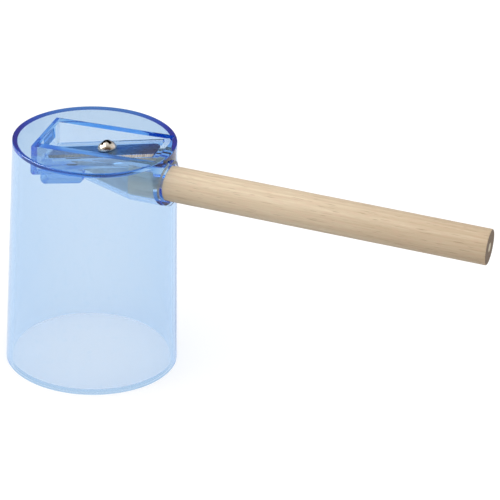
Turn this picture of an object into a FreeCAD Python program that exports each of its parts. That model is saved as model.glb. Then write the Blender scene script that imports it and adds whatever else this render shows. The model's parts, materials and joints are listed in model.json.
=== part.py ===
import FreeCAD, Part
import math
import os

# Canister pencil sharpener with a pencil in its cone. Millimetres, +Z up.
# The origin is the centre of the foot, and the pencil points along +X.

Vec = FreeCAD.Vector

# Canister: a drafted round wall, wider at the foot, with a closed top.
height = 51.6
foot_radius = 18.8
top_radius = 17.5
foot_wall = 1.2
top_wall = 1.15
top_plate = 1.2
rim_round = 0.25
seam_turn = 17.2

# Base disc, a plain clear disc pushed up into the foot.
disc_height = 0.8
disc_clearance = 0.08
disc_round = 0.15

# Pocket sunk in the top. Its floor falls away from the pencil's mouth.
pocket_low_x = -10.9
pocket_high_x = 15.0
pocket_low_y = -6.65
pocket_high_y = 7.1
pocket_wall = 1.1
pocket_round = 0.7
floor_depth = 3.55
floor_angle = 11.36
floor_thickness = 1.0
pocket_turn = 2.5

# Blade, lying in a shallow seat in the floor. Its edge leads the pencil's axis a little, so
# that it cuts along the cone's near side. A low rib on the floor stands behind it.
blade_length = 24.0
blade_width = 6.3
blade_thickness = 0.6
edge_lead = 0.5
blade_proud = 0.1
blade_centre_x = 1.5
bevel_width = 0.5
blade_land = 0.08
far_corner_round = 2.0
edge_corner_round = 0.7
seat_clearance = 0.15
rib_height = 0.7
rib_width = 0.8

# Screw through the blade.
screw_x = 1.65
screw_offset = 3.8
head_radius = 2.1
head_height = 1.9
head_rim = 0.45
shank_radius = 0.95
shank_length = 2.9
shank_tip_radius = 0.3
shank_tip_length = 1.0
recess_depth = 0.95
recess_width = 0.65
recess_length = 2.9
recess_turn = 35.0
boss_radius = 1.75
boss_length = 3.2

# Pencil guide: a straight bore at the side wall, then the cone.
guide_y = -1.5
mouth_depth = 6.4
droop_angle = 1.3
guide_radius = 4.1
guide_wall = 0.8
lip_height = 0.5
throat_width = 1.9
throat_depth = 1.1
throat_overhang = 0.25

# The housing of the cone starts this far inside the block at its tip.
housing_overlap = 2.0

# Block that closes the tip of the cone.
block_low_x = -10.8
block_high_x = -1.2
block_width = 5.0
block_depth = 4.85
block_round = 1.0
tip_hole_radius = 0.6

# Pencil.
pencil_radius = 3.8
pencil_reach = 69.5
lead_radius = 1.05
tip_radius = 0.35
cone_clearance = 0.3
glue_gap = 0.05
glue_plane_turn = 27.0
end_round = 0.12

margin = 5.0

floor_slope = math.tan(math.radians(floor_angle))
droop_slope = math.tan(math.radians(droop_angle))
cone_angle = math.radians(floor_angle + droop_angle)
mouth = Vec(top_radius, guide_y, height - mouth_depth)


def wall_radius(z):
    return foot_radius + (top_radius - foot_radius) * z / height


def floor_z(x):
    return height - floor_depth + floor_slope * x


def inner_radius(z):
    return wall_radius(z) - foot_wall - (top_wall - foot_wall) * z / height


def drum(low_z, high_z, radius_at, inset=0):
    """A drafted round body. Its surface's seam is turned clear of the pencil's mouth."""
    low_radius = radius_at(low_z) - inset
    high_radius = radius_at(high_z) - inset
    cone = Part.makeCone(low_radius, high_radius, high_z - low_z, Vec(0, 0, low_z))
    cone.rotate(Vec(0, 0, 0), Vec(0, 0, 1), seam_turn)
    return cone


def block(low, high):
    return Part.makeBox(high[0] - low[0], high[1] - low[1], high[2] - low[2], Vec(*low))


def side_prism(outline, low_y, high_y):
    """Extrude an outline of (x, z) corners from low_y to high_y."""
    corners = [Vec(x, low_y, z) for x, z in outline]
    face = Part.Face(Part.makePolygon(corners + corners[:1]))
    return face.extrude(Vec(0, high_y - low_y, 0))


def above_floor(low_x, high_x, drop, top_z, low_y, high_y):
    """Everything above a plane that lies `drop` under the pocket's floor."""
    outline = [(low_x, floor_z(low_x) - drop), (high_x, floor_z(high_x) - drop)]
    outline += [(high_x, top_z), (low_x, top_z)]
    return side_prism(outline, low_y, high_y)


def askew(shape):
    """Turn a shape with the pocket, about its far left corner, away from the pencil's line."""
    shape.rotate(Vec(pocket_low_x, pocket_high_y, 0), Vec(0, 0, 1), pocket_turn)
    return shape


def on_floor(shape):
    """Move a shape from the level plane at the origin onto the pocket's sloping floor."""
    shape.rotate(Vec(0, 0, 0), Vec(0, 1, 0), -floor_angle)
    shape.translate(Vec(0, 0, height - floor_depth))
    return askew(shape)


def along_pencil(shape):
    """Move a shape from the +X axis to the pencil's axis, with 0 at the mouth."""
    shape.rotate(Vec(0, 0, 0), Vec(0, 1, 0), droop_angle)
    shape.translate(mouth)
    return shape


def turned(profile):
    """Turn a profile of (distance, radius) points about the pencil's axis."""
    corners = [Vec(s, 0, r) for s, r in profile]
    corners += [Vec(profile[-1][0], 0, 0), Vec(profile[0][0], 0, 0)]
    face = Part.Face(Part.makePolygon(corners + corners[:1]))
    return along_pencil(face.revolve(Vec(0, 0, 0), Vec(1, 0, 0), 360))


def edges_along(shape, direction, test):
    found = []
    for edge in shape.Edges:
        if not isinstance(edge.Curve, Part.Line):
            continue
        if abs(edge.Curve.Direction.dot(direction)) < 0.999:
            continue
        if test(edge.CenterOfMass):
            found.append(edge)
    return found


def keep_single(shape):
    solid = shape.removeSplitter()
    return solid.Solids[0] if len(solid.Solids) == 1 else solid


# The cone's tip is where the pencil's axis meets the blade's seat.
seat_drop = blade_thickness - blade_proud
seat_gap = mouth_depth - (floor_depth + seat_drop) + floor_slope * top_radius
tip_distance = -seat_gap / (floor_slope + droop_slope) / math.cos(math.radians(droop_angle))
guide_start = tip_distance + guide_radius / math.tan(cone_angle)
edge_y = guide_y - edge_lead
screw_y = guide_y + screw_offset


def cone_radius(distance):
    return (distance - tip_distance) * math.tan(cone_angle)


def make_canister():
    outer = drum(0, height, wall_radius)
    rim = [e for e in outer.Edges if e.CenterOfMass.z > height - 0.01 and e.Length > top_radius]
    outer = outer.makeFillet(rim_round, rim)
    inner = drum(-margin, height - top_plate, inner_radius)
    body = outer.cut(inner)

    # Walls and floor of the pocket, under the top plate.
    low_y = pocket_low_y - pocket_wall
    high_y = pocket_high_y + pocket_wall
    low_x = pocket_low_x - pocket_wall
    tub = above_floor(low_x, top_radius + margin, floor_thickness, height - rim_round, low_y, high_y)
    tub_foot = edges_along(tub, Vec(0, 1, 0), lambda c: c.x < 0 and c.z < floor_z(c.x))
    tub = askew(tub.makeFillet(pocket_round, tub_foot))

    # Housing of the cone and its straight guide, filled up to the pocket.
    outer_guide = guide_radius + guide_wall
    block_end = (block_high_x - top_radius) / math.cos(math.radians(droop_angle))
    start = block_end - housing_overlap
    start_radius = cone_radius(start) + guide_wall
    housing = turned([(start, start_radius), (guide_start, outer_guide), (margin, outer_guide)])
    plan = [(start, start_radius), (guide_start, outer_guide), (margin, outer_guide)]
    plan += [(s, -r) for s, r in reversed(plan)]
    corners = [Vec(s, r, 0) for s, r in plan]
    web = Part.Face(Part.makePolygon(corners + corners[:1])).extrude(Vec(0, 0, mouth_depth - top_plate))
    web = along_pencil(web)

    # Block at the cone's tip, and the boss under the screw.
    tip_low_y = guide_y - block_width / 2
    tip_high_y = guide_y + block_width / 2
    outline = [(x, floor_z(x) - block_depth) for x in (block_low_x, block_high_x)]
    outline += [(x, floor_z(x)) for x in (block_high_x, block_low_x)]
    tip_block = side_prism(outline, tip_low_y, tip_high_y)
    foot = edges_along(tip_block, Vec(0, 1, 0), lambda c: c.z < floor_z(c.x) - block_depth / 2)
    tip_block = tip_block.makeFillet(block_round, foot)
    boss = Part.makeCylinder(boss_radius, boss_length, Vec(screw_x, screw_y, -boss_length))
    boss = on_floor(boss)

    fittings = tub.fuse([housing, web, tip_block, boss]).common(drum(0, height, wall_radius, top_wall / 2))
    lip = turned([(-margin, outer_guide), (margin, outer_guide)])
    lip = lip.common(drum(0, height - top_plate, wall_radius, -lip_height))
    lip = lip.cut(drum(0, height, wall_radius, top_wall / 2))
    body = body.fuse(fittings).fuse(lip)

    # Pocket, blade seat, throat along the edge, screw hole and pencil bore.
    pocket = above_floor(pocket_low_x, pocket_high_x, 0, height + margin, pocket_low_y, pocket_high_y)
    pocket = askew(pocket)
    seat_low_x = blade_centre_x - blade_length / 2 - seat_clearance
    seat_high_x = blade_centre_x + blade_length / 2 + seat_clearance
    seat_high_y = edge_y + blade_width + seat_clearance
    seat = block((seat_low_x, edge_y - throat_width / 2, -seat_drop), (seat_high_x, seat_high_y, margin))
    throat_low_x = mouth.x + tip_distance
    throat_high_x = mouth.x + guide_start
    throat = block(
        (throat_low_x, edge_y - throat_width, -seat_drop - throat_depth),
        (throat_high_x, edge_y + throat_overhang, margin),
    )
    hole = Part.makeCylinder(shank_radius, boss_length, Vec(screw_x, screw_y, -shank_length - seat_drop))
    cuts = [on_floor(seat), on_floor(throat), on_floor(hole)]
    bore = turned([(tip_distance, 0), (guide_start, guide_radius), (margin, guide_radius)])
    tip_hole = turned([(tip_distance - margin, tip_hole_radius), (guide_start, tip_hole_radius)])
    for cutter in [pocket] + cuts + [bore, tip_hole]:
        body = body.cut(cutter)
    rib = block((seat_low_x, seat_high_y, -seat_drop), (seat_high_x, seat_high_y + rib_width, rib_height))
    return keep_single(body.fuse(on_floor(rib)))


def make_base_disc():
    disc = drum(0, disc_height, inner_radius, disc_clearance)
    upper = [e for e in disc.Edges if e.CenterOfMass.z > disc_height - 0.01 and e.Length > foot_radius]
    return keep_single(disc.makeFillet(disc_round, upper))


def make_blade():
    low_x = blade_centre_x - blade_length / 2
    high_x = blade_centre_x + blade_length / 2
    high_y = edge_y + blade_width
    plate = block((low_x, edge_y, -seat_drop), (high_x, high_y, blade_proud))
    far = edges_along(plate, Vec(0, 0, 1), lambda c: c.y > edge_y + blade_width / 2)
    plate = plate.makeFillet(far_corner_round, far)
    near = edges_along(plate, Vec(0, 0, 1), lambda c: c.y < edge_y + 0.1)
    plate = plate.makeFillet(edge_corner_round, near)
    # The bevel leaves a thin land at the lower face.
    land_z = blade_land - seat_drop
    ground = [(edge_y, land_z), (edge_y + bevel_width, blade_proud), (edge_y + bevel_width, margin)]
    ground += [(edge_y - margin, margin), (edge_y - margin, land_z)]
    corners = [Vec(low_x - margin, y, z) for y, z in ground]
    bevel = Part.Face(Part.makePolygon(corners + corners[:1]))
    bevel = bevel.extrude(Vec(blade_length + 2 * margin, 0, 0))
    hole = Part.makeCylinder(shank_radius, 2 * margin, Vec(screw_x, screw_y, -margin))
    return keep_single(on_floor(plate.cut(bevel).cut(hole)))


def make_screw():
    # Domed head: an arc from the rim to the crown, with its centre on the screw's axis.
    rise = head_height - head_rim
    dome_radius = (head_radius**2 + rise**2) / (2 * rise)
    half_way = math.asin(head_radius / dome_radius) / 2
    shoulder = head_height - dome_radius * (1 - math.cos(half_way))
    rim_point = Vec(head_radius, 0, head_rim)
    crown_point = Vec(0, 0, head_height)
    crown = Part.Arc(rim_point, Vec(dome_radius * math.sin(half_way), 0, shoulder), crown_point)
    line = [Vec(0, 0, head_height), Vec(0, 0, -shank_length), Vec(shank_tip_radius, 0, -shank_length)]
    line += [Vec(shank_radius, 0, shank_tip_length - shank_length), Vec(shank_radius, 0, 0)]
    line += [Vec(head_radius, 0, 0), rim_point]
    edges = [Part.makeLine(a, b) for a, b in zip(line, line[1:])] + [crown.toShape()]
    face = Part.Face(Part.Wire(Part.__sortEdges__(edges)))
    screw = face.revolve(Vec(0, 0, 0), Vec(0, 0, 1), 360)
    half_length = recess_length / 2
    half_width = recess_width / 2
    for angle in (recess_turn, recess_turn + 90):
        foot = (-half_length, -half_width, head_height - recess_depth)
        slot = block(foot, (half_length, half_width, head_height + margin))
        slot.rotate(Vec(0, 0, 0), Vec(0, 0, 1), angle)
        screw = screw.cut(slot)
    screw.translate(Vec(screw_x, screw_y, blade_proud))
    return keep_single(on_floor(screw))


def pencil_profile(clearance, blunt_radius, end_distance, outer_radius):
    """A sharpened round bar that stays `clearance` inside the cone."""
    point = tip_distance + clearance / math.sin(cone_angle)
    run = 1 / math.tan(cone_angle)
    blunt = (point + blunt_radius * run, blunt_radius)
    shoulder = (point + outer_radius * run, outer_radius)
    rounded = [(end_distance - end_round, outer_radius), (end_distance, outer_radius - end_round)]
    return [blunt, shoulder] + rounded


def make_lead():
    return turned(pencil_profile(cone_clearance, tip_radius, pencil_reach, lead_radius))


def make_slats():
    bore_radius = lead_radius + glue_gap
    wood = turned(pencil_profile(cone_clearance, bore_radius, pencil_reach, pencil_radius))
    core = turned([(tip_distance, bore_radius), (pencil_reach + margin, bore_radius)])
    wood = wood.cut(core)
    reach = pencil_reach + margin
    slats = {}
    for name, side in (("pencil_slat_front", -1), ("pencil_slat_back", 1)):
        low_y = min(0, side * margin)
        half = Part.makeBox(reach - tip_distance, margin, 2 * margin, Vec(tip_distance, low_y, -margin))
        half.rotate(Vec(0, 0, 0), Vec(1, 0, 0), glue_plane_turn)
        slats[name] = keep_single(wood.common(along_pencil(half)))
    return slats


nodes = {
    "canister": make_canister(),
    "base_disc": make_base_disc(),
    "blade": make_blade(),
    "blade_screw": make_screw(),
    "pencil_lead": make_lead(),
}
nodes.update(make_slats())

os.makedirs("parts", exist_ok=True)
for name, shape in nodes.items():
    box = shape.BoundBox
    print(f"{name}: valid {shape.isValid()}, solids {len(shape.Solids)}, volume {shape.Volume:.1f} mm3, "
          f"x {box.XMin:.2f}..{box.XMax:.2f}, y {box.YMin:.2f}..{box.YMax:.2f}, z {box.ZMin:.2f}..{box.ZMax:.2f}")
    shape.exportStep(f"parts/{name}.step")
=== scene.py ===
import json
import math

import bmesh
import bpy
from mathutils import Matrix, Vector, noise


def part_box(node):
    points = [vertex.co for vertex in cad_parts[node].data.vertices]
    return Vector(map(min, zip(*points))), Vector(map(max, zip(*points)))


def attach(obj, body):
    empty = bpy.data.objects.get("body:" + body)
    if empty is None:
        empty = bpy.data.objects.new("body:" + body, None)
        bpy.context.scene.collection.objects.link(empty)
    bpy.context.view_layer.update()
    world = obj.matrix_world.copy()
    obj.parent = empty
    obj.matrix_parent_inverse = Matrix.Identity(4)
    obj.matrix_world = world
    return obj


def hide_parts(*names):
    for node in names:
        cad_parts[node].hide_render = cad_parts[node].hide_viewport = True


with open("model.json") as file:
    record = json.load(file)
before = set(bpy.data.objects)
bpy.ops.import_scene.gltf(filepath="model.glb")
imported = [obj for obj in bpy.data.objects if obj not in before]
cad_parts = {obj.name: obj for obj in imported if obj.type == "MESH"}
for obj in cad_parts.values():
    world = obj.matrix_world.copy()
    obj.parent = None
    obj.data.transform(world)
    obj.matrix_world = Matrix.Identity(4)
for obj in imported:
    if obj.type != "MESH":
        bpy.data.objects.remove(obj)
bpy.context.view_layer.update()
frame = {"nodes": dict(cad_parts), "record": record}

# Camera: a long lens above a desk, turned so that the pencil points right and a little
# towards the viewer. It has the small roll of a camera held by hand. Lengths are metres.
mm = 0.001
camera_azimuth = math.radians(17.2)
camera_elevation = math.radians(26.62)
camera_roll = math.radians(2.54)
camera_distance = 575.9 * mm
aim_point = Vector((29.15, 20.33, 21.55)) * mm

towards_camera = Vector((
    math.sin(camera_azimuth) * math.cos(camera_elevation),
    -math.cos(camera_azimuth) * math.cos(camera_elevation),
    math.sin(camera_elevation),
))
lens = bpy.data.cameras.new("camera")
lens.lens = 187.9
lens.sensor_width = 36.0
lens.clip_start = 10 * mm
camera = bpy.data.objects.new("camera", lens)
camera.location = aim_point + towards_camera * camera_distance
facing = towards_camera.to_track_quat("Z", "Y") @ Matrix.Rotation(camera_roll, 3, "Z").to_quaternion()
camera.rotation_euler = facing.to_euler()
bpy.context.scene.collection.objects.link(camera)
bpy.context.scene.camera = camera
bpy.context.scene.view_settings.view_transform = "Standard"

# Studio: a plain white lit table under a white tent, whose side towards the camera is the
# brighter one, with a soft lamp high on the left. Shiny surfaces mirror a dim camera side,
# a greyer far side and a soft box on the left.
tent_level = 0.97
tent_far_side = 0.30
tent_near_side = 1.22
tent_bright_way = Vector((-0.15, -0.85, 0.75))
whole_sky = (-1.0, 1.0)
mirrored_bounces = 2.5
dim_side_color = (0.16, 0.10, 0.06)
dim_side_height = 0.15
dim_side_edges = (0.35, 0.80)
far_side_level = 0.38
far_side_edges = (0.45, 0.85)
soft_box_way = Vector((-0.80, -0.04, 0.60))
soft_box_edges = (0.88, 0.94)
soft_box_level = 9.0
lamp_strength = 0.30
lamp_spread = math.radians(28)
lamp_from = Vector((-0.55, -0.45, 1.0))
table_half_width = 3.0
table_cells = 8
table_drop = 0.02 * mm
table_color = (0.42, 0.42, 0.42)
table_glow = 0.665
table_glow_on_things = 0.10


def add_node(tree, kind, inputs=None, **settings):
    """A node with its settings. Each input is a plain value or another node's output."""
    node = tree.nodes.new(kind)
    for name, value in settings.items():
        setattr(node, name, value)
    for name, value in (inputs or {}).items():
        if isinstance(value, bpy.types.NodeSocket):
            tree.links.new(value, node.inputs[name])
        else:
            node.inputs[name].default_value = value
    return node


def mix_colors(tree, factor, low, high, blend_type="MIX"):
    """The color between low and high. In a Mix node on colors these are inputs 6 and 7."""
    low = low if isinstance(low, bpy.types.NodeSocket) else (*low, 1)
    high = high if isinstance(high, bpy.types.NodeSocket) else (*high, 1)
    values = {0: factor, 6: low, 7: high}
    return add_node(tree, "ShaderNodeMix", values, data_type="RGBA", blend_type=blend_type).outputs[2]


def math_node(tree, operation, *values, clamp=False):
    inputs = dict(enumerate(values))
    return add_node(tree, "ShaderNodeMath", inputs, operation=operation, use_clamp=clamp).outputs[0]


def scaled(tree, vector, scale):
    """A vector stretched by its own factor along each axis."""
    return add_node(tree, "ShaderNodeVectorMath", {0: vector, 1: scale}, operation="MULTIPLY").outputs[0]


def stepped(tree, value, low, high, to_low=0.0, to_high=1.0):
    """A value carried from one range to another and held at its ends."""
    inputs = {"Value": value, "From Min": low, "From Max": high, "To Min": to_low, "To Max": to_high}
    return add_node(tree, "ShaderNodeMapRange", inputs).outputs["Result"]


def noise_at(tree, vector, scale, detail=2.0, roughness=0.5):
    inputs = {"Vector": vector, "Scale": scale, "Detail": detail, "Roughness": roughness}
    return add_node(tree, "ShaderNodeTexNoise", inputs).outputs["Fac"]


def new_material(name):
    """A material with its node tree, its Principled node and its object coordinates."""
    material = bpy.data.materials.new(name)
    material.use_nodes = True
    tree = material.node_tree
    place = add_node(tree, "ShaderNodeTexCoord").outputs["Object"]
    return material, tree, tree.nodes["Principled BSDF"], place


def connect(tree, shader, inputs):
    """Set the inputs of a material's own shader, as plain values or as links."""
    for name, value in inputs.items():
        if isinstance(value, bpy.types.NodeSocket):
            tree.links.new(value, shader.inputs[name])
        else:
            shader.inputs[name].default_value = value


def facing_share(tree, way, edges):
    """How far the sky lies towards a direction, from 0 to 1 between two cosines."""
    sky_way = add_node(tree, "ShaderNodeTexCoord").outputs["Generated"]
    inputs = {0: sky_way, 1: way.normalized()}
    cosine = add_node(tree, "ShaderNodeVectorMath", inputs, operation="DOT_PRODUCT").outputs["Value"]
    return stepped(tree, cosine, *edges)


def grey(level):
    return (level, level, level)


world = bpy.data.worlds.new("tent")
world.use_nodes = True
world.cycles.sampling_method = "NONE"
tree = world.node_tree
ray = add_node(tree, "ShaderNodeLightPath").outputs
camera_side = Vector((towards_camera.x, towards_camera.y, dim_side_height))
far_side = Vector((-towards_camera.x, -towards_camera.y, dim_side_height))
far_share = facing_share(tree, far_side, far_side_edges)
mirrored = mix_colors(tree, far_share, grey(tent_level), grey(far_side_level))
dim_share = facing_share(tree, camera_side, dim_side_edges)
mirrored = mix_colors(tree, dim_share, mirrored, dim_side_color)
soft_box_share = facing_share(tree, soft_box_way, soft_box_edges)
mirrored = mix_colors(tree, soft_box_share, mirrored, grey(soft_box_level))
early_ray = math_node(tree, "LESS_THAN", ray["Ray Depth"], mirrored_bounces)
reflected = math_node(tree, "SUBTRACT", ray["Is Glossy Ray"], ray["Is Transmission Ray"], clamp=True)
reflected = math_node(tree, "MULTIPLY", reflected, early_ray)
bright_share = facing_share(tree, tent_bright_way, whole_sky)
lit = mix_colors(tree, bright_share, grey(tent_far_side), grey(tent_near_side))
seen = mix_colors(tree, reflected, grey(tent_level), mirrored)
connect(tree, tree.nodes["Background"], {"Color": mix_colors(tree, ray["Is Diffuse Ray"], seen, lit)})
bpy.context.scene.world = world

lamp = bpy.data.lights.new("soft_lamp", "SUN")
lamp.energy = lamp_strength
lamp.angle = lamp_spread
lamp_object = bpy.data.objects.new("soft_lamp", lamp)
lamp_object.rotation_euler = lamp_from.to_track_quat("Z", "Y").to_euler()
bpy.context.scene.collection.objects.link(lamp_object)


def mesh_object(name, bm, smooth_below=None):
    """An object at the origin made from a bmesh, with edges sharper than the angle kept sharp."""
    mesh = bpy.data.meshes.new(name)
    bm.normal_update()
    if smooth_below is not None:
        for face in bm.faces:
            face.smooth = True
        for edge in bm.edges:
            edge.smooth = len(edge.link_faces) == 2 and edge.calc_face_angle(0) < smooth_below
    bm.to_mesh(mesh)
    bm.free()
    piece = bpy.data.objects.new(name, mesh)
    bpy.context.scene.collection.objects.link(piece)
    return piece


bm = bmesh.new()
bmesh.ops.create_grid(bm, x_segments=table_cells, y_segments=table_cells, size=table_half_width)
bmesh.ops.translate(bm, verts=bm.verts, vec=(0, 0, -table_drop))
table = mesh_object("table", bm)
material, tree, shader, _ = new_material("pale_table")
ray = add_node(tree, "ShaderNodeLightPath").outputs
glow = mix_colors(tree, ray["Is Diffuse Ray"], grey(table_glow), grey(table_glow_on_things))
connect(tree, shader, {
    "Base Color": (*table_color, 1),
    "Roughness": 0.9,
    "Specular IOR Level": 0.0,
    "Emission Color": glow,
    "Emission Strength": 1.0,
})
material.cycles.emission_sampling = "NONE"
table.data.materials.append(material)

# Canister: one moulding in clear, pale blue styrene, with the wall, the closed top, the
# sunk pocket and the pencil's cone in one shot. Thin it is pale, and edge-on deep blue.
plastic_ior = 1.5
plastic_color = (0.0, 0.52, 0.92)
plastic_density = 245.0
plastic_roughness = (0.012, 0.075)
plastic_tint = (0.98, 0.945, 0.94)
dusty_tint = (0.90, 0.91, 0.925)
trapped_bounces = 5.5
scuff_scale = 900.0
flow_scale = 70.0
flow_stretch = (1.0, 1.0, 0.35)
flow_height = 0.05 * mm
patch_scale = 160.0
patch_edges = (0.45, 0.65)
scratch_axis = (0.3, 0.5, 0.8)
scratch_turn = 0.6
scratch_stretch = (1.0, 0.08, 1.0)
scratch_edges = (0.56, 0.70)
speck_edges = (0.62, 0.72)


def handling_marks():
    """Fine scuffs and a trace of dust, for any hard surface that hands have touched."""
    group = bpy.data.node_groups.new("handling_marks", "ShaderNodeTree")
    for name, kind in (("Vector", "NodeSocketVector"), ("Scale", "NodeSocketFloat"),
                       ("Amount", "NodeSocketFloat")):
        group.interface.new_socket(name, in_out="INPUT", socket_type=kind)
    for name in ("Marks", "Dust"):
        group.interface.new_socket(name, in_out="OUTPUT", socket_type="NodeSocketFloat")
    given = add_node(group, "NodeGroupInput").outputs
    patches = noise_at(group, given["Vector"], patch_scale, detail=3.0)
    turned_way = add_node(group, "ShaderNodeVectorRotate", {
        "Vector": given["Vector"],
        "Axis": scratch_axis,
        "Angle": scratch_turn,
    }).outputs[0]
    drawn_out = scaled(group, turned_way, scratch_stretch)
    fine = noise_at(group, drawn_out, given["Scale"], detail=4.0, roughness=0.6)
    lines = stepped(group, fine, *scratch_edges)
    worn = math_node(group, "MULTIPLY", lines, stepped(group, patches, *patch_edges))
    specks = stepped(group, noise_at(group, given["Vector"], given["Scale"]), *speck_edges)
    output = add_node(group, "NodeGroupOutput")
    marks = math_node(group, "MULTIPLY", worn, given["Amount"])
    dust = math_node(group, "MULTIPLY", specks, given["Amount"])
    group.links.new(marks, output.inputs["Marks"])
    group.links.new(dust, output.inputs["Dust"])
    return group


marks_group = handling_marks()


def marks_on(tree, place, scale, amount):
    """The outputs, Marks and Dust, of the handling marks at a place."""
    node = tree.nodes.new("ShaderNodeGroup")
    node.node_tree = marks_group
    connect(tree, node, {"Vector": place, "Scale": scale, "Amount": amount})
    return node.outputs


def clear_plastic(name, density):
    """Clear tinted plastic. Light that is caught inside a wall leaves it after a few turns."""
    material, tree, shader, place = new_material(name)
    worn = marks_on(tree, place, scuff_scale, 1.0)
    flow = noise_at(tree, scaled(tree, place, flow_stretch), flow_scale)
    bump = add_node(tree, "ShaderNodeBump", {"Strength": 0.35, "Distance": flow_height, "Height": flow})
    connect(tree, shader, {
        "Base Color": mix_colors(tree, worn["Dust"], plastic_tint, dusty_tint),
        "Roughness": stepped(tree, worn["Marks"], 0.0, 1.0, *plastic_roughness),
        "Normal": bump.outputs["Normal"],
        "IOR": plastic_ior,
        "Transmission Weight": 1.0,
    })
    ray = add_node(tree, "ShaderNodeLightPath")
    trapped = math_node(tree, "GREATER_THAN", ray.outputs["Ray Depth"], trapped_bounces)
    straight_on = math_node(tree, "MAXIMUM", ray.outputs["Is Shadow Ray"], trapped)
    open_way = add_node(tree, "ShaderNodeBsdfTransparent")
    surface = add_node(tree, "ShaderNodeMixShader", {
        0: straight_on,
        1: shader.outputs[0],
        2: open_way.outputs[0],
    })
    inside = add_node(tree, "ShaderNodeVolumeAbsorption")
    inside.inputs["Color"].default_value = (*plastic_color, 1)
    inside.inputs["Density"].default_value = density
    output = tree.nodes["Material Output"]
    tree.links.new(surface.outputs[0], output.inputs["Surface"])
    tree.links.new(inside.outputs[0], output.inputs["Volume"])
    return material


def finish_node(node_name, material):
    """Give a CAD node its finish, as its only material."""
    data = frame["nodes"][node_name].data
    data.materials.clear()
    data.materials.append(material)


finish_node("canister", clear_plastic("clear_blue_plastic", plastic_density))

# Base disc: a plain disc in the same plastic with very little of the blue dye, pushed up
# into the foot. It pulls off to empty the shavings.
disc_density = 25.0
finish_node("base_disc", clear_plastic("pale_clear_plastic", disc_density))

# Blade: a hardened steel strip, ground to an edge along one side and tempered to a dark
# blue. It lies in a shallow seat in the pocket's floor, with its edge over the cone.
blade_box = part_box("blade")
smooth_angle = math.radians(28)
flat_angle = math.radians(0.6)
weld_distance = 0.001 * mm
steel_color = (0.060, 0.18, 0.40)
temper_color = (0.10, 0.06, 0.13)
ground_color = (0.17, 0.16, 0.155)
stone_dark = (0.08, 0.075, 0.07)
floor_slope = math.radians(11.36)
pocket_turn = math.radians(2.5)
bevel_slope = math.radians(46.1)
bevel_limit = math.radians(8)
blade_edge_round = 0.035 * mm
noise_middle = (0.3, 0.7)
blade_scuff_scale = 1400.0
blade_scuffs = 0.6
temper_reach = (-7 * mm, -1 * mm)
temper_cloud_scale = 260.0
temper_least = 0.4
rolled_stretch = (0.05, 1.0, 1.0)
stone_stretch = (1.0, 0.04, 0.04)
stone_lines = 2600.0
stone_height = 0.01 * mm
tempered_roughness = (0.24, 0.36)
ground_roughness = (0.20, 0.34)


def copy_of_node(node_name, piece_name):
    """A merged copy of a CAD node's mesh, with its flat faces whole again."""
    bm = bmesh.new()
    bm.from_mesh(frame["nodes"][node_name].data)
    bmesh.ops.remove_doubles(bm, verts=bm.verts, dist=weld_distance)
    bmesh.ops.dissolve_limit(bm, angle_limit=flat_angle, verts=bm.verts, edges=bm.edges)
    bmesh.ops.recalc_face_normals(bm, faces=bm.faces)
    return mesh_object(piece_name, bm, smooth_angle)


def made_plain(piece):
    """Turn a piece and its modifiers into one plain mesh."""
    name = piece.data.name
    ready = piece.evaluated_get(bpy.context.evaluated_depsgraph_get())
    mesh = bpy.data.meshes.new_from_object(ready)
    piece.modifiers.clear()
    old = piece.data
    piece.data = mesh
    bpy.data.meshes.remove(old)
    mesh.name = name
    return piece


def round_edges(piece, width, segments=2):
    """Break a piece's sharp edges, and keep its broad faces flat."""
    edge_break = piece.modifiers.new("edge_break", "BEVEL")
    edge_break.width = width
    edge_break.segments = segments
    edge_break.limit_method = "ANGLE"
    edge_break.angle_limit = smooth_angle
    edge_break.use_clamp_overlap = True
    shading = piece.modifiers.new("shading", "WEIGHTED_NORMAL")
    shading.keep_sharp = True
    return made_plain(piece)


def on_pocket_floor():
    """The turn from level to the pocket's floor, which falls away from the pencil's mouth."""
    return Matrix.Rotation(pocket_turn, 4, "Z") @ Matrix.Rotation(-floor_slope, 4, "Y")


def tempered_steel():
    """Dark blued steel, clouded with purple where it ran hotter at one end."""
    material, tree, shader, place = new_material("tempered_steel")
    marks = marks_on(tree, place, blade_scuff_scale, blade_scuffs)["Marks"]
    along = add_node(tree, "ShaderNodeSeparateXYZ", {0: place}).outputs["X"]
    blade_end = blade_box[1][0]
    tempered = stepped(tree, along, blade_end + temper_reach[0], blade_end + temper_reach[1])
    clouds = noise_at(tree, place, temper_cloud_scale, detail=3.0)
    clouds = stepped(tree, clouds, *noise_middle, temper_least)
    tint = math_node(tree, "MULTIPLY", tempered, clouds)
    color = mix_colors(tree, tint, steel_color, temper_color)
    rolled = noise_at(tree, scaled(tree, place, rolled_stretch), stone_lines)
    height = math_node(tree, "ADD", rolled, marks)
    bump = add_node(tree, "ShaderNodeBump", {"Strength": 0.2, "Distance": stone_height, "Height": height})
    connect(tree, shader, {
        "Base Color": mix_colors(tree, marks, color, ground_color),
        "Metallic": 1.0,
        "Roughness": stepped(tree, rolled, *noise_middle, *tempered_roughness),
        "Normal": bump.outputs["Normal"],
    })
    return material


def ground_steel():
    """Bare grey steel with the stone's fine lines across the edge."""
    material, tree, shader, place = new_material("ground_steel")
    stone = noise_at(tree, scaled(tree, place, stone_stretch), stone_lines)
    bump = add_node(tree, "ShaderNodeBump", {"Strength": 0.3, "Distance": stone_height, "Height": stone})
    connect(tree, shader, {
        "Base Color": mix_colors(tree, stepped(tree, stone, *noise_middle), ground_color, stone_dark),
        "Metallic": 1.0,
        "Roughness": stepped(tree, stone, *noise_middle, *ground_roughness),
        "Normal": bump.outputs["Normal"],
    })
    return material


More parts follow.
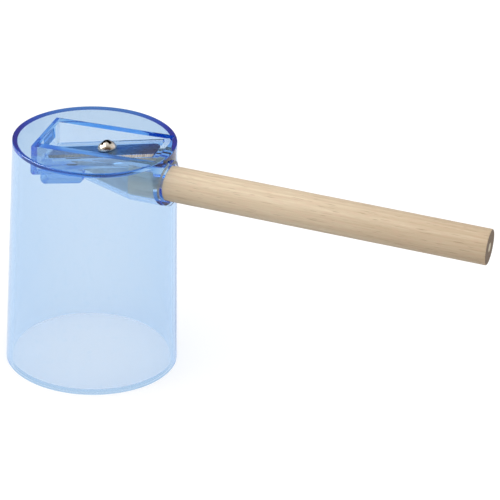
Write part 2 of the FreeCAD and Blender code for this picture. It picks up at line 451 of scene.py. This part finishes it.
blade = copy_of_node("blade", "ground_blade")
round_edges(blade, blade_edge_round)
blade.data.materials.append(tempered_steel())
blade.data.materials.append(ground_steel())
bevel_way = on_pocket_floor() @ Vector((0, -math.sin(bevel_slope), math.cos(bevel_slope)))
for face in blade.data.polygons:
    if face.normal.angle(bevel_way) < bevel_limit:
        face.material_index = 1
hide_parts("blade")
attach(blade, "canister")

# Blade screw: turned steel, nickel plated, with a domed head and a stamped cross recess.
# Its thread cuts its own way into the boss under the pocket and clamps the blade.
screw_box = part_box("blade_screw")
head_radius = 2.1 * mm
head_rim = 0.45 * mm
head_height = 1.9 * mm
rim_break = 0.08 * mm
core_radius = 0.70 * mm
thread_radius = 0.93 * mm
shank_length = 2.9 * mm
shank_tip_length = 1.0 * mm
shank_tip_radius = 0.3 * mm
thread_pitch = 0.55 * mm
thread_ridge = 0.20 * mm
recess_length = 3.4 * mm
recess_width = 0.78 * mm
recess_depth = 1.15 * mm
recess_draft = 0.72
recess_turn = math.radians(62)
recess_margin = 0.03 * mm
dome_rise = head_height - head_rim
dome_radius = (head_radius ** 2 + dome_rise ** 2) / (2 * dome_rise)
dome_center = Vector((0, 0, head_height - dome_radius))
recess_overlap = 0.2 * mm
screw_steps = 64
dome_steps = 14
thread_steps = 28
thread_sides = 3
plate_scuff_scale = 1800.0
plate_scuffs = 0.8
plate_roughness = (0.10, 0.32)
stain_scale = 900.0
stain_edges = (0.45, 0.75)
stain_height = 0.012 * mm
nickel_color = (0.72, 0.66, 0.58)
stain_color = (0.36, 0.27, 0.18)
# Painted shade: the faces inside the cross recess get this near-black nickel.
recess_painted_shade_color = (0.10, 0.07, 0.05)


def turned_part(name, profile, steps):
    """A solid of revolution about Z from a profile of (radius, height) that ends on the axis."""
    bm = bmesh.new()
    rings = []
    for radius, height in profile:
        if radius == 0:
            rings.append([bm.verts.new((0, 0, height))])
            continue
        angles = [2 * math.pi * step / steps for step in range(steps)]
        rings.append([bm.verts.new((radius * math.cos(a), radius * math.sin(a), height)) for a in angles])
    for ring, above in zip(rings, rings[1:]):
        for step in range(steps):
            after = (step + 1) % steps
            corners = [ring[step % len(ring)], ring[after % len(ring)],
                       above[after % len(above)], above[step % len(above)]]
            bm.faces.new(list(dict.fromkeys(corners)))
    bmesh.ops.recalc_face_normals(bm, faces=bm.faces)
    return mesh_object(name, bm, smooth_angle)


def dome_profile():
    """The head from its rim up to the crown: an arc of a circle whose centre is on the axis."""
    half_angle = math.asin(head_radius / dome_radius)
    points = []
    for step in range(dome_steps + 1):
        angle = half_angle * (1 - step / dome_steps)
        points.append((dome_radius * math.sin(angle), dome_center.z + dome_radius * math.cos(angle)))
    points[-1] = (0, head_height)
    return points


def recess_cutter():
    """Two crossed bars with drafted sides, standing at the bottom of the recess."""
    bm = bmesh.new()
    for turn in (0, math.pi / 2):
        made = bmesh.ops.create_cube(bm, size=1.0)["verts"]
        for vert in made:
            at_bottom = vert.co.z < 0
            taper = recess_draft if at_bottom else 1.0
            vert.co.x *= recess_length * taper
            vert.co.y *= recess_width * taper
            vert.co.z = head_height + (-recess_depth if at_bottom else recess_overlap)
        bmesh.ops.rotate(bm, verts=made, matrix=Matrix.Rotation(turn + recess_turn, 3, "Z"))
    return mesh_object("recess_cutter", bm)


def thread_tree():
    """A helix with a ridge of three sides, drawn in where the shank tapers to its tip."""
    tree = bpy.data.node_groups.new("screw_thread", "GeometryNodeTree")
    interface = tree.interface
    interface.new_socket("Geometry", in_out="INPUT", socket_type="NodeSocketGeometry")
    for name in ("Radius", "Pitch", "Length", "Ridge", "Tip Length", "Tip Share"):
        interface.new_socket(name, in_out="INPUT", socket_type="NodeSocketFloat")
    interface.new_socket("Material", in_out="INPUT", socket_type="NodeSocketMaterial")
    interface.new_socket("Geometry", in_out="OUTPUT", socket_type="NodeSocketGeometry")
    given = add_node(tree, "NodeGroupInput").outputs
    turns = math_node(tree, "DIVIDE", given["Length"], given["Pitch"])
    helix = add_node(tree, "GeometryNodeCurveSpiral", {
        "Resolution": thread_steps,
        "Rotations": turns,
        "Start Radius": given["Radius"],
        "End Radius": given["Radius"],
        "Height": given["Length"],
    })
    where = add_node(tree, "GeometryNodeInputPosition").outputs[0]
    height = add_node(tree, "ShaderNodeSeparateXYZ", {0: where}).outputs["Z"]
    share = add_node(tree, "ShaderNodeMapRange", {
        "Value": height,
        "From Max": given["Tip Length"],
        "To Min": given["Tip Share"],
    }).outputs["Result"]
    squeeze = add_node(tree, "ShaderNodeCombineXYZ", {"X": share, "Y": share, "Z": 1.0}).outputs[0]
    drawn_in = add_node(tree, "GeometryNodeSetPosition", {
        "Geometry": helix.outputs["Curve"],
        "Position": scaled(tree, where, squeeze),
    })
    section = add_node(tree, "GeometryNodeCurvePrimitiveCircle", {
        "Resolution": thread_sides,
        "Radius": given["Ridge"],
    })
    ridge = add_node(tree, "GeometryNodeCurveToMesh", {
        "Curve": drawn_in.outputs["Geometry"],
        "Profile Curve": section.outputs["Curve"],
        "Fill Caps": True,
    })
    real = add_node(tree, "GeometryNodeRealizeInstances", {"Geometry": ridge.outputs["Mesh"]})
    finished = add_node(tree, "GeometryNodeSetMaterial", {
        "Geometry": real.outputs["Geometry"],
        "Material": given["Material"],
    })
    output = add_node(tree, "NodeGroupOutput")
    tree.links.new(finished.outputs["Geometry"], output.inputs["Geometry"])
    return tree


def grown(name, tree, values):
    """The plain mesh that a tree of geometry nodes makes with these named inputs."""
    piece = mesh_object(name, bmesh.new())
    growth = piece.modifiers.new("growth", "NODES")
    growth.node_group = tree
    for item in tree.interface.items_tree:
        if item.in_out == "INPUT" and item.name in values:
            growth[item.identifier] = values[item.name]
    return made_plain(piece)


def joined(piece, part):
    """Add another piece's mesh to a piece, as a second closed shell."""
    bm = bmesh.new()
    bm.from_mesh(piece.data)
    bm.from_mesh(part.data)
    bm.to_mesh(piece.data)
    bm.free()
    bpy.data.objects.remove(part)
    return piece


def place_in_box(piece, turn, box):
    """Turn a mesh that is made upright, and move it so that its box's centre is the box's."""
    piece.data.transform(turn)
    corners = [vert.co for vert in piece.data.vertices]
    for axis in range(3):
        values = [corner[axis] for corner in corners]
        shift = (box[0][axis] + box[1][axis] - min(values) - max(values)) / 2
        for corner in corners:
            corner[axis] += shift
    piece.data.update()


def nickel_plate(name, plate_color):
    """Nickel with fine scuffs and a few brown stains."""
    material, tree, shader, place = new_material(name)
    marks = marks_on(tree, place, plate_scuff_scale, plate_scuffs)["Marks"]
    stains = noise_at(tree, place, stain_scale, detail=3.0)
    bump = add_node(tree, "ShaderNodeBump", {"Strength": 0.3, "Distance": stain_height, "Height": stains})
    connect(tree, shader, {
        "Base Color": mix_colors(tree, stepped(tree, stains, *stain_edges), plate_color, stain_color),
        "Metallic": 1.0,
        "Roughness": stepped(tree, marks, 0.0, 1.0, *plate_roughness),
        "Normal": bump.outputs["Normal"],
    })
    return material


screw_profile = [(0, -shank_length), (shank_tip_radius, -shank_length)]
screw_profile += [(core_radius, shank_tip_length - shank_length), (core_radius, 0)]
screw_profile += [(head_radius - rim_break, 0), (head_radius, rim_break)]
screw_profile += dome_profile()
screw = turned_part("turned_screw", screw_profile, screw_steps)
cutter = recess_cutter()
recess = screw.modifiers.new("recess", "BOOLEAN")
recess.operation = "DIFFERENCE"
recess.object = cutter
recess.use_self = True
made_plain(screw)
bpy.data.objects.remove(cutter)
nickel = nickel_plate("nickel_plate", nickel_color)
thread = grown("thread", thread_tree(), {
    "Radius": thread_radius - thread_ridge,
    "Pitch": thread_pitch,
    "Length": shank_length - thread_ridge,
    "Ridge": thread_ridge,
    "Tip Length": shank_tip_length,
    "Tip Share": shank_tip_radius / core_radius,
    "Material": nickel,
})
thread.data.transform(Matrix.Translation((0, 0, -shank_length)))
joined(screw, thread)
screw.data.materials.clear()
screw.data.materials.append(nickel)
# The faces inside the cross recess take a near-black copy of the nickel: painted shade.
screw.data.materials.append(nickel_plate("recess_nickel_painted_shade", recess_painted_shade_color))
for face in screw.data.polygons:
    above_floor = face.center.z > head_height - recess_depth - recess_margin
    below_dome = (face.center - dome_center).length < dome_radius - recess_margin
    face.material_index = int(above_floor and below_dome)
place_in_box(screw, on_pocket_floor(), screw_box)
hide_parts("blade_screw")
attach(screw, "canister")

# Pencil core: an extruded rod of baked graphite and clay, with its point turned by the
# blade. It is glued between the two slats and ends flush with them.
joints = {joint["name"]: joint for joint in frame["record"]["behaviour"]["joints"]}
pencil_mouth = Vector(joints["pencil_turn"]["pos_m"])
pencil_axis = Vector(joints["pencil_turn"]["axis"])
cone_angle = math.radians(12.66)
bore_tip = -26.24 * mm
cone_clearance = 0.3 * mm
cone_point = bore_tip + cone_clearance / math.sin(cone_angle)
pencil_end = 69.5 * mm
lead_radius = 1.05 * mm
tip_radius = 0.35 * mm
tip_flat_radius = 0.7 * tip_radius
end_round = 0.12 * mm
groove_radius = 1.1 * mm
barrel_radius = 3.8 * mm
lead_steps = 34
lead_sides = 48
point_break = 0.06 * mm
lead_groove = 0.012 * mm
sawn_reach = (-0.4 * mm, -0.2 * mm)
graphite_grain = 3500.0
graphite_relief = 0.03 * mm
graphite_roughness = (0.34, 0.55)
graphite_color = (0.055, 0.052, 0.055)
graphite_light = (0.16, 0.15, 0.15)
sawn_end_color = (0.50, 0.43, 0.30)


def cone_station(radius):
    """How far along the pencil its sharpened cone reaches a radius."""
    return cone_point + radius / math.tan(cone_angle)


def cone_radius(station):
    return (station - cone_point) * math.tan(cone_angle)


def lay_along_pencil(piece):
    """Turn a mesh that is made along Z so that it lies along the pencil, from its mouth."""
    turn = pencil_axis.to_track_quat("Z", "Y").to_matrix().to_4x4()
    piece.data.transform(Matrix.Translation(pencil_mouth) @ turn)


def lead_profile():
    """The blunt point, a cone with the blade's fine steps in it, and the plain rod."""
    tip = cone_station(tip_radius)
    first = tip + point_break
    last = cone_station(lead_radius)
    points = [(0, tip), (tip_flat_radius, tip + point_break / 3)]
    for step in range(lead_steps + 1):
        station = first + (last - first) * step / lead_steps
        groove = lead_groove * (step % 2)
        points.append((cone_radius(station) - groove, station))
    points += [(lead_radius, pencil_end - end_round), (lead_radius - end_round, pencil_end)]
    points.append((0, pencil_end))
    return points


def graphite():
    """Dark and slightly shiny, with sawdust rubbed into the end that was sawn."""
    material, tree, shader, place = new_material("graphite_and_clay")
    grain = noise_at(tree, place, graphite_grain, detail=4.0, roughness=0.7)
    rod = mix_colors(tree, stepped(tree, grain, *noise_middle), graphite_color, graphite_light)
    along = add_node(tree, "ShaderNodeSeparateXYZ", {0: place}).outputs["X"]
    lead_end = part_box("pencil_lead")[1][0]
    sawn = stepped(tree, along, lead_end + sawn_reach[0], lead_end + sawn_reach[1])
    bump = add_node(tree, "ShaderNodeBump", {"Strength": 0.4, "Distance": graphite_relief, "Height": grain})
    connect(tree, shader, {
        "Base Color": mix_colors(tree, sawn, rod, sawn_end_color),
        "Roughness": stepped(tree, grain, *noise_middle, *graphite_roughness),
        "Metallic": 0.25,
        "Normal": bump.outputs["Normal"],
    })
    return material


lead = turned_part("graphite_core", lead_profile(), lead_sides)
lay_along_pencil(lead)
lead.data.materials.append(graphite())
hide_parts("pencil_lead")
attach(lead, "pencil_core")

# Pencil slats: two grooved halves of bare, fine-grained wood, glued round the core,
# turned to a round barrel and cut square at the end. The blade has cut their cone.
glue_plane_turn = math.radians(27)
merge_distance = 0.0005 * mm
barrel_steps = 150
cone_steps = 40
angle_steps = 72
end_rings = 9
grain_depth = 0.035 * mm
grain_length = 7 * mm
grain_lines = 9.0
cut_step = 0.022 * mm
cut_pitch = 0.8 * mm
saw_depth = 0.05 * mm
saw_scale = (2600.0, 700.0)
noise_slice = 3.3
wood_light = (0.775, 0.650, 0.475)
wood_dark = (0.595, 0.455, 0.30)
fleck_color = (0.70, 0.50, 0.36)
pore_tone = (0.22, 0.13, 0.07)
painted_end_shade_tint = (0.80, 0.76, 0.72)
# Painted shade: the barrel wood is multiplied by this tint towards the pencil's end.
painted_end_shade_from = 25 * mm
drift_scale = 180.0
drift_stretch = (0.12, 1.0, 1.0)
drift_width = 1.6 * mm
layer_pitch = 1.15 * mm
layer_strength = 0.35
fibre_scale = 3200.0
fibre_stretch = (0.035, 1.0, 1.0)
fibre_strength = 0.55
pore_scale = 4200.0
pore_stretch = (0.07, 1.0, 1.0)
pore_edges = (0.63, 0.72)
pore_shade = 0.55
fleck_scale = 1500.0
fleck_stretch = (0.30, 1.0, 1.0)
fleck_edges = (0.46, 0.68)
fleck_strength = 0.45
wood_heights = (0.2, 0.8)
wood_roughness = (0.72, 0.55)
end_light = (0.26, 0.175, 0.10)
end_dark = (0.13, 0.078, 0.042)
# Painted shade and painted reflection: the cut cone's wood is greyed and darker than the barrel, standing
# in for the shade and the blue plastic's reflection on it inside the canister.
cone_pale_with_painted_shade = (0.58, 0.61, 0.60)
cone_deep_with_painted_shade = (0.43, 0.45, 0.44)


def wood_radius(station, angle):
    """The radius of the wood at a place, with the grain's relief or the blade's steps."""
    plain = cone_radius(station)
    if plain < barrel_radius:
        turn = angle / (2 * math.pi) + station / cut_pitch
        return plain - cut_step * (turn % 1.0) * min(1.0, plain / barrel_radius)
    around = Vector((math.cos(angle), math.sin(angle), 0)) * grain_lines
    relief = noise.noise(around + Vector((0, 0, station / grain_length)))
    return barrel_radius - grain_depth * abs(relief)


def sawn_depth(radius, angle):
    """How deep the saw's marks are at a place on the end face."""
    across = (radius * math.cos(angle) * saw_scale[0], radius * math.sin(angle) * saw_scale[1])
    return saw_depth * abs(noise.noise(Vector((*across, noise_slice))))


def slat(name, first_angle):
    """Half of the pencil's wood: rings of points from the point to the end, then its end face."""
    bm = bmesh.new()
    point = cone_station(groove_radius)
    shoulder = cone_station(barrel_radius)
    last = pencil_end - end_round
    stations = [point + (shoulder - point) * step / cone_steps for step in range(cone_steps)]
    stations += [shoulder + (last - shoulder) * step / barrel_steps for step in range(barrel_steps + 1)]
    angles = [first_angle + math.pi * step / angle_steps for step in range(angle_steps + 1)]

    def ring(radii, heights):
        places = zip(angles, radii, heights)
        return [bm.verts.new((r * math.cos(a), r * math.sin(a), height)) for a, r, height in places]

    outer = []
    inner = []
    for station in stations:
        level = [station] * len(angles)
        outer.append(ring([max(wood_radius(station, a), groove_radius) for a in angles], level))
        inner.append(ring([groove_radius] * len(angles), level))
    face_rings = []
    face_radius = barrel_radius - end_round
    for step in range(end_rings + 1):
        radius = face_radius - (face_radius - groove_radius) * step / end_rings
        inside = 0 < step < end_rings
        heights = [pencil_end - (sawn_depth(radius, a) if inside else 0) for a in angles]
        face_rings.append(ring([radius] * len(angles), heights))
    shell = outer + face_rings + inner[::-1]
    for index, (low, high) in enumerate(zip(shell, shell[1:] + shell[:1])):
        for side in range(angle_steps):
            face = bm.faces.new((low[side], low[side + 1], high[side + 1], high[side]))
            if index < cone_steps:
                face.material_index = 1
            elif len(stations) <= index < len(stations) + end_rings:
                face.material_index = 2
    for side in (0, angle_steps):
        for index in range(len(stations) - 1):
            bm.faces.new((outer[index][side], outer[index + 1][side],
                          inner[index + 1][side], inner[index][side]))
        rim = [outer[-1][side]] + [ring_verts[side] for ring_verts in face_rings] + [inner[-1][side]]
        bm.faces.new(rim)
    bmesh.ops.remove_doubles(bm, verts=bm.verts, dist=merge_distance)
    bmesh.ops.recalc_face_normals(bm, faces=bm.faces)
    return mesh_object(name, bm, smooth_angle)


def wood_figure():
    """Straight-grained wood: growth layers, fine fibres, short dark pores and flecks along X."""
    group = bpy.data.node_groups.new("wood_figure", "ShaderNodeTree")
    for name, kind in (("Vector", "NodeSocketVector"), ("Light", "NodeSocketColor"),
                       ("Dark", "NodeSocketColor"), ("Fleck", "NodeSocketColor"),
                       ("Pore Depth", "NodeSocketFloat")):
        group.interface.new_socket(name, in_out="INPUT", socket_type=kind)
    group.interface.new_socket("Color", in_out="OUTPUT", socket_type="NodeSocketColor")
    group.interface.new_socket("Height", in_out="OUTPUT", socket_type="NodeSocketFloat")
    given = add_node(group, "NodeGroupInput").outputs
    place = given["Vector"]
    drift = noise_at(group, scaled(group, place, drift_stretch), drift_scale)
    across = add_node(group, "ShaderNodeSeparateXYZ", {0: place}).outputs["Y"]
    across = math_node(group, "ADD", across, math_node(group, "MULTIPLY", drift, drift_width))
    wave = math_node(group, "SINE", math_node(group, "MULTIPLY", across, 2 * math.pi / layer_pitch))
    layer_share = stepped(group, wave, -1.0, 1.0, 0.0, layer_strength)
    fibre_place = scaled(group, place, fibre_stretch)
    fibres = noise_at(group, fibre_place, fibre_scale, detail=3.0, roughness=0.6)
    fibre_share = stepped(group, fibres, *noise_middle, 0.0, fibre_strength)
    share = math_node(group, "ADD", fibre_share, layer_share, clamp=True)
    color = mix_colors(group, share, given["Light"], given["Dark"])
    pores = noise_at(group, scaled(group, place, pore_stretch), pore_scale, detail=1.0)
    pore_color = mix_colors(group, pore_shade, given["Dark"], pore_tone)
    pore_share = math_node(group, "MULTIPLY", stepped(group, pores, *pore_edges), given["Pore Depth"])
    fleck_place = scaled(group, place, fleck_stretch)
    flecks = noise_at(group, fleck_place, fleck_scale, detail=3.0, roughness=0.6)
    fleck_share = stepped(group, flecks, *fleck_edges, 0.0, fleck_strength)
    color = mix_colors(group, fleck_share, color, given["Fleck"])
    output = add_node(group, "NodeGroupOutput")
    group.links.new(mix_colors(group, pore_share, color, pore_color), output.inputs["Color"])
    group.links.new(math_node(group, "SUBTRACT", fibres, pore_share), output.inputs["Height"])
    return group


wood_group = wood_figure()


def wood(name, light, dark, fleck, pore_depth, relief):
    """A material of the wood's figure, darkened towards the pencil's end by painted shade."""
    material, tree, shader, place = new_material(name)
    straight = add_node(tree, "ShaderNodeMapping", {
        "Vector": place,
        "Rotation": (0, math.asin(pencil_axis.z), 0),
    })
    figure = tree.nodes.new("ShaderNodeGroup")
    figure.node_tree = wood_group
    connect(tree, figure, {
        "Vector": straight.outputs[0],
        "Light": (*light, 1),
        "Dark": (*dark, 1),
        "Fleck": (*fleck, 1),
        "Pore Depth": pore_depth,
    })
    bump = add_node(tree, "ShaderNodeBump", {
        "Strength": 0.5,
        "Distance": relief,
        "Height": figure.outputs["Height"],
    })
    # Painted shade: the wood's colour is darkened towards the pencil's end.
    along = add_node(tree, "ShaderNodeSeparateXYZ", {0: place}).outputs["X"]
    painted_end_shade = stepped(tree, along, pencil_mouth.x + painted_end_shade_from, pencil_mouth.x + pencil_end)
    connect(tree, shader, {
        "Base Color": mix_colors(tree, painted_end_shade, figure.outputs["Color"], painted_end_shade_tint, "MULTIPLY"),
        "Roughness": stepped(tree, figure.outputs["Height"], *wood_heights, *wood_roughness),
        "Normal": bump.outputs["Normal"],
    })
    return material


barrel_wood = wood("bare_wood", wood_light, wood_dark, fleck_color, pore_depth=0.55, relief=0.03 * mm)
# The cut cone's grey wood carries painted shade and painted reflection of the plastic.
cone_wood_painted_shade = wood("cone_wood_painted_shade_and_reflection", cone_pale_with_painted_shade, cone_deep_with_painted_shade, cone_deep_with_painted_shade, pore_depth=0.35, relief=0.02 * mm)
end_wood = wood("end_grain", end_light, end_dark, end_dark, pore_depth=1.0, relief=0.05 * mm)
for name, side in (("front", 0), ("back", math.pi)):
    half = slat("wood_slat_" + name, side + glue_plane_turn)
    lay_along_pencil(half)
    for material in (barrel_wood, cone_wood_painted_shade, end_wood):
        half.data.materials.append(material)
    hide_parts("pencil_slat_" + name)
    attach(half, "pencil_casing")
